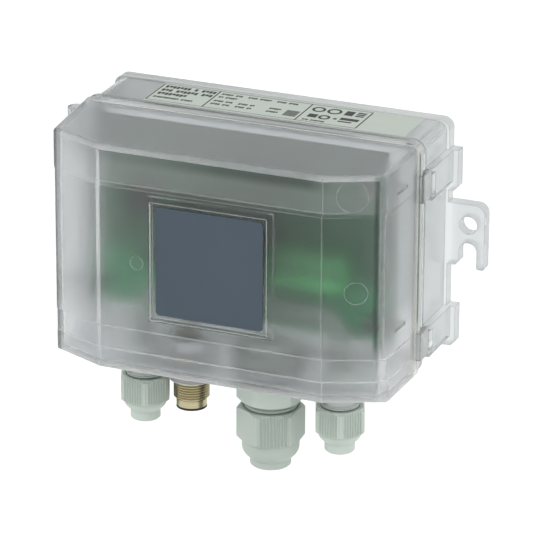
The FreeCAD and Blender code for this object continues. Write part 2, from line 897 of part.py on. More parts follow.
def plug_leads():
    leads = []
    for x, y in contact_places():
        nearer_board = y > entry_y
        leads.append(lead(x, y, lead_bends[0] if nearer_board else lead_bends[1]))
    return Part.makeCompound(leads)


# Circuit board and its fittings

def circuit_board():
    board = box((-board_half, board_half), (-board_front, -board_back), (board_low, board_high))
    for x, z in screw_places:
        board = board.cut(stud(x, z, screw_hole, board_back - overshoot, board_front + overshoot))
    return board


def screw_slot(x, z, reach, low, high):
    half = screw_slot_width / 2
    return box((x - reach, x + reach), (low, high), (z - half, z + half))


def board_screws():
    head_back = board_back - screw_head_height
    screws = []
    for x, z in screw_places:
        shank = stud(x, z, screw_radius, board_back, board_front + screw_length)
        head = stud(x, z, screw_head, head_back, board_back)
        slot = screw_slot(x, z, screw_head, -head_back - screw_slot_depth, -head_back + overshoot)
        screws.append(head.cut(slot).fuse(shank).removeSplitter())
    return Part.makeCompound(screws)


def pressure_cell():
    front = board_front + cell_depth
    body = box((cell_x - cell_half, cell_x + cell_half), (-front, -board_front), (cell_low, cell_high))
    edges = [edge for edge in body.Edges if edge.BoundBox.YMax < tolerance - front]
    body = body.makeChamfer(nut_chamfer, edges)
    for side in (-1, 1):
        x = cell_x + side * nipple_spread
        nipple = post(x, entry_y, port_barb_radius, cell_low - nipple_drop, cell_low)
        duct = post(x, entry_y, port_duct, cell_low - nipple_drop - overshoot, cell_low + nipple_drop)
        body = body.fuse(nipple).cut(duct)
    return body.removeSplitter()


def hose(side, port_x):
    """Soft tube from the pressure cell, out to the side and down to its port."""
    start_x = cell_x + side * nipple_spread
    slant = hose_bend * math.sqrt(0.5)
    bend_z = cell_low - nipple_drop
    run_z = bend_z - hose_bend
    first = V(start_x, entry_y, cell_low - hose_clearance)
    bend_1 = V(start_x, entry_y, bend_z)
    centre_1 = V(start_x + side * hose_bend, entry_y, bend_z)
    run_1 = V(start_x + side * hose_bend, entry_y, run_z)
    run_2 = V(port_x - side * hose_bend, entry_y, run_z)
    centre_2 = V(port_x - side * hose_bend, entry_y, run_z - hose_bend)
    bend_2 = V(port_x, entry_y, run_z - hose_bend)
    last = V(port_x, entry_y, port_shoulder_z + hose_gap)
    arc_1 = Part.Arc(bend_1, centre_1 + V(-side * slant, 0, -slant), run_1).toShape()
    arc_2 = Part.Arc(run_2, centre_2 + V(side * slant, 0, slant), bend_2).toShape()
    path = Part.Wire([Part.makeLine(first, bend_1), arc_1, Part.makeLine(run_1, run_2), arc_2,
                      Part.makeLine(bend_2, last)])
    tubes = []
    for radius in (hose_radius, port_barb_radius + hose_clearance):
        section = Part.Wire(Part.makeCircle(radius, first, V(0, 0, 1)))
        tubes.append(path.makePipeShell([section], True, True))
    return tubes[0].cut(tubes[1])


def terminal_centres():
    return [terminal_left + terminal_pitch * (i + 0.5) for i in range(terminal_count)]


def terminal_block():
    front = board_front + terminal_depth
    block = box((terminal_left, terminal_right), (-front, -board_front), (terminal_low, terminal_high))
    middle_z = (terminal_low + terminal_high) / 2
    wire_y = -board_front - terminal_hole_ahead
    screw_back = front - terminal_screw_length
    for x in terminal_centres():
        block = block.cut(post(x, wire_y, terminal_hole, terminal_low - overshoot, middle_z))
        well = stud(x, middle_z, terminal_screw + hose_clearance, screw_back, front + overshoot)
        block = block.cut(well)
    return block


def terminal_screws():
    middle_z = (terminal_low + terminal_high) / 2
    front = board_front + terminal_depth
    face = front - terminal_screw_drop
    screws = []
    for x in terminal_centres():
        screw = stud(x, middle_z, terminal_screw, front - terminal_screw_length, face)
        slot = screw_slot(x, middle_z, terminal_screw, -face - overshoot, screw_slot_depth - face)
        screws.append(screw.cut(slot))
    return Part.makeCompound(screws)


def capacitors():
    front = board_front + capacitor_height
    cans = []
    x = cell_x - cell_half - capacitor_gap - capacitor_radius
    for above_cell_low in capacitor_lifts:
        cans.append(stud(x, cell_low + above_cell_low, capacitor_radius, board_front, front))
    return Part.makeCompound(cans)


def board_chips():
    chips = []
    for x, z, width, height in chip_places:
        chips.append(box((x - width / 2, x + width / 2), (-board_front - chip_height, -board_front),
                         (z - height / 2, z + height / 2)))
    return Part.makeCompound(chips)


parts = {
    "rear_base": rear_base(),
    "rating_label": rating_label(),
    "seam_gasket": seam_gasket(),
    "hinge_pins": hinge_pins(),
    "front_housing": front_housing(),
    "front_foil": front_foil(),
    "circuit_board": circuit_board(),
    "board_screws": board_screws(),
    "pressure_cell": pressure_cell(),
    "hose_left": hose(-1, port_left_x),
    "hose_right": hose(1, port_right_x),
    "terminal_block": terminal_block(),
    "terminal_screws": terminal_screws(),
    "capacitors": capacitors(),
    "board_chips": board_chips(),
    "port_stub_left": port_stub(port_left_x),
    "port_stub_right": port_stub(port_right_x),
    "port_seal_left": port_seal(port_left_x),
    "port_seal_right": port_seal(port_right_x),
    "port_nut_left": port_nut(port_left_x),
    "port_nut_right": port_nut(port_right_x),
    "gland_body": gland_body(),
    "gland_washer": gland_washer_ring(),
    "gland_seal": gland_seal(),
    "gland_locknut": gland_locknut(),
    "gland_nut": gland_nut(),
    "plug_shell": plug_shell(),
    "plug_insert": plug_insert(),
    "plug_contacts": plug_contacts(),
    "plug_washer": plug_washer_ring(),
    "plug_locknut": plug_locknut(),
    "plug_leads": plug_leads(),
}

os.makedirs("parts", exist_ok=True)
for name, shape in parts.items():
    shape.exportStep("parts/" + name + ".step")
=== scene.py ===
import math

import bmesh
import bpy
from mathutils import Matrix, Vector


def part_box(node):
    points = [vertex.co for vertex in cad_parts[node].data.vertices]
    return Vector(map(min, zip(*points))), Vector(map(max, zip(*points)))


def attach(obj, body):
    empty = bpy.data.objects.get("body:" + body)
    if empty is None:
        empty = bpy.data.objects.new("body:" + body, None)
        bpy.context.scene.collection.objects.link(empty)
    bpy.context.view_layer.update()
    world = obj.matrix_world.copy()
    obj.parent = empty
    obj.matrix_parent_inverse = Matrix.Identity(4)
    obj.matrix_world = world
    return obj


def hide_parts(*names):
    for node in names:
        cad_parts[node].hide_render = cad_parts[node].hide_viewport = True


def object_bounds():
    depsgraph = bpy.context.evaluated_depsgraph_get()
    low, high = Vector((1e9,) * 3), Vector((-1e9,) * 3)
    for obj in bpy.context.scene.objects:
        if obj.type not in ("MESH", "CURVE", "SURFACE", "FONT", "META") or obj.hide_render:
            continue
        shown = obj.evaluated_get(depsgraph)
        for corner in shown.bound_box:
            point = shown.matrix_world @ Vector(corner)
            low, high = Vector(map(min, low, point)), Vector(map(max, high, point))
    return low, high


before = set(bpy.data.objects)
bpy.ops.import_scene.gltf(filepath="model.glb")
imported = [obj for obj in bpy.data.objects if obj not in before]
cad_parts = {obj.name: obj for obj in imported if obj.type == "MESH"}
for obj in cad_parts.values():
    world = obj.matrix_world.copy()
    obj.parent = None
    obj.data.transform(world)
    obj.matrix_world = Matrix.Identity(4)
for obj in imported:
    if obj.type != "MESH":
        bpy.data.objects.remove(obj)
cad_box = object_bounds()

# Rear base: the tray that two ears hold on the wall. It is injection-moulded in clear
# polycarbonate from a tool with a fine eroded texture, so its walls are milky and what
# lies behind them is blurred.
mm = 0.001
base_centre = (0, -14 * mm, 0)
top_wall = 37.4 * mm
tint_reach = 50 * mm
ear_root = 61.5 * mm
rim_front = -28 * mm
rim_back = -24 * mm


def colour(code):
    """Linear colour of an sRGB hex value."""
    channels = [int(code[i:i + 2], 16) / 255 for i in (1, 3, 5)]
    linear = [c / 12.92 if c <= 0.04045 else ((c + 0.055) / 1.055) ** 2.4 for c in channels]
    return (*linear, 1.0)


def add_node(tree, kind, inputs=None, **settings):
    """Adds a node with its settings; an input is a plain value or another node's output."""
    node = tree.nodes.new(kind)
    for name, value in settings.items():
        setattr(node, name, value)
    for name, value in (inputs or {}).items():
        if isinstance(value, bpy.types.NodeSocket):
            tree.links.new(value, node.inputs[name])
        else:
            node.inputs[name].default_value = value
    return node


def new_material(name):
    material = bpy.data.materials.new(name)
    material.use_nodes = True
    material.node_tree.nodes.clear()
    return material, material.node_tree


def surface(tree, inputs):
    """Ends a material with its shader."""
    shader = add_node(tree, "ShaderNodeBsdfPrincipled", inputs)
    add_node(tree, "ShaderNodeOutputMaterial", {"Surface": shader.outputs[0]})


def dress(material, *names):
    for name in names:
        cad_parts[name].material_slots[0].material = material


def tinted(tree, tint, code, share):
    """Tint that goes towards a colour by a share."""
    mix = add_node(tree, "ShaderNodeMix", {0: share, 6: tint, 7: colour(code)}, data_type="RGBA")
    return mix.outputs[2]


def clouds(tree, size):
    """Soft noise with spots of about the given size."""
    place = add_node(tree, "ShaderNodeTexCoord").outputs["Object"]
    noise = add_node(tree, "ShaderNodeTexNoise", {"Vector": place, "Scale": 1 / size, "Detail": 3.0})
    return noise.outputs[0]


def grain(tree, size, depth, strength):
    """Moulded or eroded grain as a bump, drawn coarser than the real one so that it shows.
    Size and depth are in metres."""
    place = add_node(tree, "ShaderNodeTexCoord").outputs["Object"]
    noise = add_node(tree, "ShaderNodeTexNoise", {"Vector": place, "Scale": 1 / size, "Detail": 2.0})
    bump = add_node(tree, "ShaderNodeBump", {
        "Height": noise.outputs[0], "Strength": strength, "Distance": depth,
    })
    return bump.outputs[0]


def zone(tree, axis, start, end, low=0.0, high=1.0):
    """Value that goes from low to high between two places along an axis."""
    place = add_node(tree, "ShaderNodeTexCoord").outputs["Object"]
    along = add_node(tree, "ShaderNodeSeparateXYZ", {0: place}).outputs[axis]
    ramp = add_node(tree, "ShaderNodeMapRange", {
        "Value": along, "From Min": start, "From Max": end, "To Min": low, "To Max": high,
    })
    return ramp.outputs[0]


def beside_middle(tree, start, end, low=0.0):
    """Value that goes from low to one between two distances from the middle, to both sides."""
    place = add_node(tree, "ShaderNodeTexCoord").outputs["Object"]
    along = add_node(tree, "ShaderNodeSeparateXYZ", {0: place}).outputs["X"]
    distance = add_node(tree, "ShaderNodeMath", {0: along}, operation="ABSOLUTE").outputs[0]
    ramp = add_node(tree, "ShaderNodeMapRange", {
        "Value": distance, "From Min": start, "From Max": end, "To Min": low,
    })
    return ramp.outputs[0]


def edge_lines(tree, radius):
    """One along sharp edges, where the rounded normal leaves the true one, otherwise zero."""
    least_turn = 0.95
    rounded = add_node(tree, "ShaderNodeBevel", {"Radius": radius}, samples=4).outputs[0]
    true = add_node(tree, "ShaderNodeNewGeometry").outputs["Normal"]
    turn = add_node(tree, "ShaderNodeVectorMath", {0: rounded, 1: true}, operation="DOT_PRODUCT")
    line = add_node(tree, "ShaderNodeMapRange", {
        "Value": turn.outputs["Value"], "From Min": 1.0, "From Max": least_turn,
    })
    return line.outputs[0]


def slanted(tree, tint, grey, most):
    """Tint that goes towards a grey where the wall is seen at a slant, partly through more of its depth
    and partly as painted shade, and towards a darker painted shade at its very outline."""
    steps = ((0.3, most, grey), (0.84, 0.8, "#6a7270"))
    slant = add_node(tree, "ShaderNodeLayerWeight", {"Blend": 0.5}).outputs["Facing"]
    for start, share, code in steps:
        depth = add_node(tree, "ShaderNodeMapRange", {
            "Value": slant, "From Min": start, "From Max": 1.0, "To Max": share,
        })
        tint = tinted(tree, tint, code, depth.outputs[0])
    return tint


def outer_faces(tree, centre):
    """One on a moulding's outer faces where a ray meets them from outside, zero on its inside."""
    blur = 1 * mm
    place = add_node(tree, "ShaderNodeTexCoord").outputs
    away = add_node(tree, "ShaderNodeVectorMath", {0: place["Object"], 1: centre}, operation="SUBTRACT")
    away = away.outputs[0]
    looks = add_node(tree, "ShaderNodeVectorMath", {0: place["Normal"], 1: away}, operation="DOT_PRODUCT")
    looks = looks.outputs["Value"]
    behind = add_node(tree, "ShaderNodeNewGeometry").outputs["Backfacing"]
    ahead = add_node(tree, "ShaderNodeMath", {0: looks, 1: behind}, operation="SUBTRACT").outputs[0]
    mask = add_node(tree, "ShaderNodeMapRange", {"Value": ahead, "From Min": -blur, "From Max": blur})
    return mask.outputs[0]


def frosted(tree, tint, clear, outside, gloss, edge, painted_edge_code, painted_edge_loss):
    """Ends a polycarbonate that is smoother outside than inside, whose edges pass less light and take
    another tint as painted lines of highlight and shade.
    Its index is below the real 1.58, so that the thin walls don't bend what lies behind them."""
    inner_roughness = 0.55
    index = 1.30
    polish = add_node(tree, "ShaderNodeMapRange", {
        "Value": outside, "To Min": inner_roughness, "To Max": gloss,
    })
    passed = add_node(tree, "ShaderNodeMath", {0: edge, 1: -painted_edge_loss, 2: clear}, operation="MULTIPLY_ADD")
    surface(tree, {
        "Base Color": tinted(tree, tint, painted_edge_code, edge),
        "Roughness": polish.outputs[0],
        "IOR": index,
        "Transmission Weight": passed.outputs[0],
        "Normal": grain(tree, 0.5 * mm, 0.02 * mm, 0.25),
    })


# Frosted polycarbonate: it passes light and blurs what lies behind. A wall seen at a slant is greyer,
# partly through its depth and partly as painted shade, and sharp edges pass less light and turn grey,
# so they show as fine lines of painted shade and highlight. The top is greyer than the sides and
# darker towards the left, a painted shade.
cloud_size = 22 * mm
edge_width = 0.45 * mm
base_plastic, tree = new_material("polycarbonate_of_the_base")
tint = tinted(tree, colour("#eaedee"), "#f0f2f3", clouds(tree, cloud_size))
# Painted shade: the top is greyer than the sides, and darker towards the left
painted_top_shade = tinted(tree, colour("#acb0af"), "#dcdfde", zone(tree, "X", -tint_reach, tint_reach))
top = zone(tree, "Z", top_wall - 1.2 * mm, top_wall)
tint = add_node(tree, "ShaderNodeMix", {0: top, 6: tint, 7: painted_top_shade}, data_type="RGBA").outputs[2]
tint = tinted(tree, tint, "#e0e3e4", beside_middle(tree, ear_root, ear_root + 1 * mm))
# Painted shade, partly the wall's depth: greyer at a slant, darker at the outline
tint = slanted(tree, tint, "#c3c7c9", 1.0)
clear = zone(tree, "Y", rim_front, rim_back, 0.80, 0.95)
outside = outer_faces(tree, base_centre)
# Painted lines of shade and highlight along sharp edges
frosted(tree, tint, clear, outside, 0.2, edge_lines(tree, edge_width), "#a4aba8", 0.35)
dress(base_plastic, "rear_base")

# Rating label: a printed polyester foil stuck on the top of the base. Its print is ruled fields
# with rows of plain strokes in place of words, and plain shapes in place of signs.
label_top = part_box("rating_label")[1].z
ink_thickness = 0.03 * mm
rule_width = 0.45 * mm
field_front = -22.8 * mm
field_back = -6.2 * mm
field_rules = [-41.0 * mm, -20.6 * mm, 12.65 * mm, 34.2 * mm]


def mottle(tree, size, low, high, smooth, rough):
    """Cloudy mix of two colours with spots of about the given size, and a roughness that follows it."""
    cloud = clouds(tree, size)
    sheen = add_node(tree, "ShaderNodeMapRange", {"Value": cloud, "To Min": smooth, "To Max": rough})
    return tinted(tree, colour(low), high, cloud), sheen.outputs[0]


# Polyester foil: pale grey-green, even, with a satin sheen
label_foil, tree = new_material("polyester_label")
tint, sheen = mottle(tree, 6 * mm, "#bdc9be", "#c7d1c7", 0.32, 0.42)
surface(tree, {"Base Color": tint, "Roughness": sheen, "Normal": grain(tree, 0.8 * mm, 0.01 * mm, 0.2)})
dress(label_foil, "rating_label")

# Printing ink: a flat near-black film, a little uneven where the screen laid it on
ink, tree = new_material("black_printing_ink")
tint, sheen = mottle(tree, 0.7 * mm, "#131515", "#262929", 0.35, 0.5)
surface(tree, {"Base Color": tint, "Roughness": sheen, "Specular IOR Level": 0.2})


def new_piece(name, shape, material, body):
    """Turns a finished bmesh into an object that rides on a body."""
    bmesh.ops.recalc_face_normals(shape, faces=shape.faces)
    mesh = bpy.data.meshes.new(name)
    shape.to_mesh(mesh)
    shape.free()
    piece = bpy.data.objects.new(name, mesh)
    bpy.context.scene.collection.objects.link(piece)
    mesh.materials.append(material)
    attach(piece, body)
    return piece


def add_block(shape, low, high):
    """Box between two corners."""
    low = Vector(low)
    high = Vector(high)
    place = Matrix.Translation((low + high) / 2) @ Matrix.Diagonal((*(high - low), 1.0))
    bmesh.ops.create_cube(shape, size=1.0, matrix=place)


def spin_section(shape, section, centre, axis, out, steps):
    """Turns a closed section of radii and heights once round an axis."""
    corners = [shape.verts.new(centre + out * r + axis * h) for r, h in section]
    sides = [shape.edges.new((corners[i - 1], corners[i])) for i in range(len(corners))]
    bmesh.ops.spin(shape, geom=corners + sides, cent=centre, axis=axis, angle=math.tau, steps=steps,
                   use_merge=True)


def add_ring(shape, centre, axis, radius, width, height):
    """Flat ring about an axis, spun from its rectangular section."""
    axis = Vector(axis).normalized()
    inner = radius - width / 2
    outer = radius + width / 2
    section = [(inner, 0), (outer, 0), (outer, height), (inner, height)]
    spin_section(shape, section, Vector(centre), axis, axis.orthogonal().normalized(), 40)


label_print = bmesh.new()


def print_bar(left, right, front, back):
    add_block(label_print, (left, front, label_top), (right, back, label_top + ink_thickness))


def print_words(left, back, height, words):
    """Words as rows of strokes, each word a number of strokes; every third stroke is lower."""
    pitch = 0.6 * height
    stroke = 0.8 * pitch
    low_height = 0.75 * height
    for count in words:
        for i in range(count):
            print_bar(left, left + stroke, back - (low_height if i % 3 == 1 else height), back)
            left += pitch
        left += pitch


half_rule = rule_width / 2
for x in field_rules:
    print_bar(x - half_rule, x + half_rule, field_front, field_back)
for y in (field_front, field_back):
    print_bar(field_rules[0], field_rules[-1], y - half_rule / 2, y + half_rule / 2)

# Rows of words: field, distance from its left rule and from the back rule, height, strokes in each word
rows = [
    (0, 1.3, 1.2, 2.2, (7, 1, 4)), (0, 1.3, 4.7, 2.2, (3, 6, 3)), (0, 1.3, 8.2, 2.2, (8,)),
    (0, 1.3, 12.4, 1.4, (11, 5)), (1, 1.4, 1.6, 1.4, (5, 3)), (1, 11.0, 1.6, 1.4, (4, 5)),
    (1, 21.4, 1.6, 1.4, (4, 4)), (1, 1.4, 4.6, 1.4, (2, 5)), (1, 1.4, 8.6, 1.4, (4, 3)),
    (1, 10.2, 8.6, 1.4, (4, 2)), (1, 1.4, 11.6, 1.4, (4, 3)), (1, 10.2, 11.6, 1.4, (4, 2)),
    (1, 21.4, 8.6, 1.4, (5,)), (1, 21.4, 11.6, 1.4, (5,)), (2, 2.0, 14.2, 1.2, (3, 7)),
]
for field, indent, drop, height, words in rows:
    print_words(field_rules[field] + indent * mm, field_back - drop * mm, height * mm, words)

# Hatched block at the right end of the second field
hatch_left = field_rules[1] + 27.6 * mm
hatch_right = hatch_left + 4.6 * mm
hatch_back = field_back - 8.6 * mm
hatch_pitch = 0.8 * mm
hatch_line = 0.5 * mm
for i in range(7):
    back = hatch_back - i * hatch_pitch
    print_bar(hatch_left, hatch_right, back - hatch_line, back)

# Plain shapes in the third field. Rings: distance from the left and the back rule, and radius
shapes_left = field_rules[2]
ring_line = 0.9 * mm
for indent, drop, radius in ((3.8, 4.0, 1.9), (9.4, 4.0, 2.1), (8.2, 10.6, 1.6)):
    centre = (shapes_left + indent * mm, field_back - drop * mm, label_top)
    add_ring(label_print, centre, (0, 0, 1), radius * mm, ring_line, ink_thickness)

# Squares and bars: distance from the left and the back rule, width and height
for indent, drop, width, height in (
    (13.2, 1.8, 3.0, 4.2), (17.2, 1.8, 3.0, 1.0), (17.2, 3.4, 3.0, 1.0), (17.2, 5.0, 3.0, 1.0),
    (2.4, 8.8, 3.2, 3.2), (11.4, 10.0, 1.2, 1.2), (13.6, 8.6, 6.4, 2.2), (13.6, 11.8, 4.8, 1.0),
):
    left = shapes_left + indent * mm
    back = field_back - drop * mm
    print_bar(left, left + width * mm, back - height * mm, back)
new_piece("label_print", label_print, ink, "base")

# Seam gasket: a soft silicone frame on the ledge inside the base, which the front's lip closes on.
# The two hoses inside are of the same silicone, which is milky and lets most light through.
silicone, tree = new_material("milky_silicone")
tint, sheen = mottle(tree, 4 * mm, "#d3dad6", "#dfe5e1", 0.35, 0.5)
surface(tree, {"Base Color": tint, "Roughness": sheen, "IOR": 1.25, "Transmission Weight": 0.85})
dress(silicone, "seam_gasket", "hose_left", "hose_right")

# Hinge pins: drawn steel wire, pressed into the base's eyes. The board's screws and the plug's
# locknut have the same zinc plating, which is bright and faintly cloudy.
zinc, tree = new_material("zinc_plated_steel")
tint, sheen = mottle(tree, 1.2 * mm, "#a9adb1", "#c4c7c9", 0.25, 0.4)
surface(tree, {"Base Color": tint, "Metallic": 1.0, "Roughness": sheen})
dress(zinc, "hinge_pins", "board_screws", "plug_locknut")

# Front housing: the bow-fronted cover, moulded in the same polycarbonate. It swings on the hinge
# at the left and snaps shut at the right. The ends of the tool's ejector pins leave faint rings.
front_centre = (0, -34 * mm, 0)
front_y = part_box("front_housing")[0].y
facet_start = 39.75 * mm
side_x = 57.0 * mm
bead_front = -34.0 * mm
bead_back = -32.2 * mm
shoulder_z = 24.6 * mm
band_z = -24.6 * mm
bottom_z = -39.5 * mm


def product(tree, first, *others):
    """Product of values, such as the overlap of several zones."""
    for other in others:
        first = add_node(tree, "ShaderNodeMath", {0: first, 1: other}, operation="MULTIPLY").outputs[0]
    return first


# Frosted polycarbonate, whiter than the base's. The right side of the waist is a little darker, a painted
# shade
polycarbonate, tree = new_material("frosted_polycarbonate")
tint = tinted(tree, colour("#fafbfc"), "#fdfdfe", clouds(tree, cloud_size))
side = zone(tree, "X", side_x - 0.6 * mm, side_x)
# Painted shade on the upper part of the right side
tint = tinted(tree, tint, "#d3d7d8", product(tree, side, zone(tree, "Z", -20 * mm, -10 * mm)))

# A wall at a slant is greyer, partly through its depth and partly as painted shade; painted light keeps it
# lighter low on the flanks and at the left end
painted_flank_light = product(tree, beside_middle(tree, 46 * mm, 54 * mm),
                     zone(tree, "Z", -30 * mm, -18 * mm, 0.9, 0.0))
most = add_node(tree, "ShaderNodeMath", {0: 1.0, 1: painted_flank_light}, operation="SUBTRACT").outputs[0]
most = product(tree, most, zone(tree, "X", -54 * mm, -44 * mm, 0.7, 1.0))
tint = slanted(tree, tint, "#a2a6a8", most)

# The bead at the seam is the whitest, a painted highlight, except at the hinge
bead_highlight = product(tree, zone(tree, "Y", bead_front, bead_back), zone(tree, "X", -56 * mm, -50 * mm))
tint = tinted(tree, tint, "#f6f6f2", bead_highlight)

# Walls that look forward have painted shade along their right edge and along the middle of their top edge
facing = add_node(tree, "ShaderNodeTexCoord").outputs["Normal"]
facing = add_node(tree, "ShaderNodeSeparateXYZ", {0: facing}).outputs
forward = add_node(tree, "ShaderNodeMapRange", {"Value": facing["Y"], "From Min": -0.5, "From Max": -0.75})
right_edge_shade = product(tree, zone(tree, "X", 54.8 * mm, 55.8 * mm), zone(tree, "Z", -26 * mm, -20 * mm))
top_edge_shade = zone(tree, "Z", 32.0 * mm, 34.8 * mm, 0.0, 0.7)
top_edge_shade = product(tree, top_edge_shade, beside_middle(tree, 42 * mm, 34 * mm, 0.15))
top_edge_shade = product(tree, top_edge_shade, zone(tree, "X", -30 * mm, 5 * mm, 0.3, 1.0))
edges = add_node(tree, "ShaderNodeMath", {0: right_edge_shade, 1: top_edge_shade}, operation="MAXIMUM").outputs[0]
tint = tinted(tree, tint, "#8f9b95", product(tree, forward.outputs[0], edges))

# Painted shade: the bow's left end is darker, and the slope on top is greyer
left_end_shade = product(tree, zone(tree, "X", -57.6 * mm, -57.0 * mm, 1.0, 0.0),
                   zone(tree, "Y", -56.4 * mm, -55.4 * mm, 1.0, 0.0))
tint = tinted(tree, tint, "#8b9391", left_end_shade)
# Painted shade on the slope on top
slope = add_node(tree, "ShaderNodeMapRange", {"Value": facing["Z"], "From Min": 0.7, "From Max": 0.9})
tint = tinted(tree, tint, "#d3d7d9", slope.outputs[0])

# The waist is the clearest; the shoulder, the bands, the bead, the lower rim and the side are milkier
clear = zone(tree, "Z", shoulder_z, shoulder_z + 1.4 * mm, 0.985, 0.92)
milkier = [
    zone(tree, "Z", band_z - 1.4 * mm, band_z, -0.02, 0.0),
    product(tree, bead_highlight, -0.35),
    zone(tree, "Z", bottom_z, bottom_z + 3 * mm, -0.3, 0.0),
    product(tree, side, -0.12),
]
for change in milkier:
    clear = add_node(tree, "ShaderNodeMath", {0: clear, 1: change}, operation="ADD").outputs[0]
outside = outer_faces(tree, front_centre)
# Sharp outer edges pass less light and turn nearly white: painted highlight lines
edge = product(tree, edge_lines(tree, edge_width), outside)
frosted(tree, tint, clear, outside, 0.15, edge, "#f2f7f5", 0.7)
dress(polycarbonate, "front_housing")

# Ejector rings: place across and up, radius, how far its wall lies behind the front, and the wall's slope
rings = [(48.6, 31.6, 5.2, 0.5, 0.40), (50.1, -1.45, 3.8, 0.0, 0.42), (-25.4, -0.9, 2.3, 0.0, 0.0)]
ring_width = 0.22 * mm
ring_rise = 0.03 * mm
ring_depth = 0.1 * mm
ejector_rings = bmesh.new()
for x, z, radius, inset, slope in rings:
    y = front_y + inset * mm + slope * max(x * mm - facet_start, 0)
    outwards = Vector((slope, -1, 0)).normalized()
    centre = Vector((x * mm, y, z * mm)) - outwards * ring_depth
    add_ring(ejector_rings, centre, outwards, radius * mm, ring_width, ring_depth + ring_rise)
new_piece("ejector_rings", ejector_rings, base_plastic, "front")

# Latch blocks: the thick outer skins of the two snap tongues, moulded in one with the housing. Each
# stands proud of the seam's band and wraps its front.
latch_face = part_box("front_housing")[1].x + 0.5 * mm
latch_root = latch_face - 3.2 * mm
latch_height = 9.6 * mm
latch_tops = [30.4 * mm, -25.1 * mm]
latch_front = -31.9 * mm
latch_back = -24.6 * mm
band_back = -28.9 * mm
skin = 0.6 * mm
rounding = 0.25 * mm
latch_plan = [
    (latch_root, latch_front), (latch_face, latch_front), (latch_face, latch_back),
    (latch_face - skin, latch_back), (latch_face - skin, band_back), (latch_root, band_back),
]
latch_blocks = bmesh.new()
for top in latch_tops:
    outline = [latch_blocks.verts.new((x, y, top - latch_height)) for x, y in latch_plan]
    plan = latch_blocks.faces.new(outline)
    raised = bmesh.ops.extrude_face_region(latch_blocks, geom=[plan])
    upper = [part for part in raised["geom"] if isinstance(part, bmesh.types.BMVert)]
    bmesh.ops.translate(latch_blocks, verts=upper, vec=(0, 0, latch_height))
bmesh.ops.bevel(latch_blocks, geom=latch_blocks.edges[:], offset=rounding, affect="EDGES", segments=2,
                profile=0.5, material=-1)
new_piece("latch_blocks", latch_blocks, base_plastic, "front")

# Front foil: a polyester panel stuck in the square recess, printed blue-grey from behind, with a
# fine satin grain.
panel_foil, tree = new_material("satin_panel_foil")
tint, sheen = mottle(tree, 30 * mm, "#3c4a57", "#465462", 0.38, 0.46)
surface(tree, {"Base Color": tint, "Roughness": sheen, "Normal": grain(tree, 0.4 * mm, 0.01 * mm, 0.3)})
dress(panel_foil, "front_foil")

# Circuit board: glass-fibre laminate under green solder mask, screwed to posts of the front housing.
# Tracks show through the mask as lighter green, and its rear carries solder joints and chip parts.
field_size = 9 * mm
track_size = 6 * mm
solder_mask, tree = new_material("green_solder_mask")
place = add_node(tree, "ShaderNodeTexCoord").outputs["Object"]
fields = add_node(tree, "ShaderNodeTexVoronoi", {"Vector": place, "Scale": 1 / field_size},
                  distance="CHEBYCHEV")
along = add_node(tree, "ShaderNodeTexWave", {"Vector": place, "Scale": 1 / track_size}, bands_direction="X")
across = add_node(tree, "ShaderNodeTexWave", {"Vector": place, "Scale": 1 / track_size}, bands_direction="Z")
choice = add_node(tree, "ShaderNodeMath", {0: fields.outputs["Color"], 1: 0.5}, operation="GREATER_THAN")
tracks = add_node(tree, "ShaderNodeMix", {0: choice.outputs[0], 2: along.outputs[1], 3: across.outputs[1]})
copper = add_node(tree, "ShaderNodeMapRange", {
    "Value": tracks.outputs[0], "From Min": 0.55, "From Max": 0.65,
}).outputs[0]

# The mask is lighter green on the lower part of the board
lower_board = zone(tree, "Z", -4 * mm, -12 * mm)
plain = tinted(tree, colour("#103f27"), "#20764a", lower_board)
track = tinted(tree, colour("#195536"), "#2d8b5a", lower_board)
mask = add_node(tree, "ShaderNodeMix", {0: copper, 6: plain, 7: track}, data_type="RGBA")
sheen = add_node(tree, "ShaderNodeMapRange", {"Value": copper, "To Min": 0.42, "To Max": 0.3})
relief = add_node(tree, "ShaderNodeBump", {"Height": copper, "Strength": 0.4, "Distance": 0.04 * mm})
surface(tree, {"Base Color": mask.outputs[2], "Roughness": sheen.outputs[0], "Normal": relief.outputs[0]})
dress(solder_mask, "circuit_board")

# Solder: dull bright tin, pulled up round each pin
tin, tree = new_material("tin_solder")
tint, sheen = mottle(tree, 0.8 * mm, "#b4b6b6", "#cdcecd", 0.25, 0.42)
surface(tree, {"Base Color": tint, "Metallic": 1.0, "Roughness": sheen})

# Black moulded plastic: an even near-black with a fine moulded grain
black_plastic, tree = new_material("black_moulded_plastic")
tint, sheen = mottle(tree, 2 * mm, "#0b0c0c", "#161717", 0.4, 0.55)
surface(tree, {"Base Color": tint, "Roughness": sheen, "Normal": grain(tree, 0.3 * mm, 0.02 * mm, 0.2)})

# Pins come through the board behind the terminal block, the pressure cell, the capacitors and the leads
board_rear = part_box("circuit_board")[1].y
terminal_low, terminal_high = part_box("terminal_block")
cell_low, cell_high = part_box("pressure_cell")
can_low, can_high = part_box("capacitors")
lead_low, lead_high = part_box("plug_leads")
terminal_pitch = 5 * mm
cell_pitch = 6 * mm
cell_inset = 4 * mm
can_inset = 4 * mm
can_half_pitch = 1.75 * mm
lead_inset = 0.6 * mm
terminal_z = (terminal_low.z + terminal_high.z) / 2
can_x = (can_low.x + can_high.x) / 2
pins = [(terminal_low.x + (i + 0.5) * terminal_pitch, terminal_z) for i in range(5)]
for drop in (3 * mm, 13 * mm):
    pins += [(cell_low.x + cell_inset + i * cell_pitch, cell_high.z - drop) for i in range(4)]
for z in (can_low.z + can_inset, can_high.z - can_inset):
    pins += [(can_x - can_half_pitch, z), (can_x + can_half_pitch, z)]
for x in (lead_low.x + lead_inset, lead_high.x - lead_inset):
    pins += [(x, lead_high.z - drop) for drop in (0.6 * mm, 2.1 * mm)]

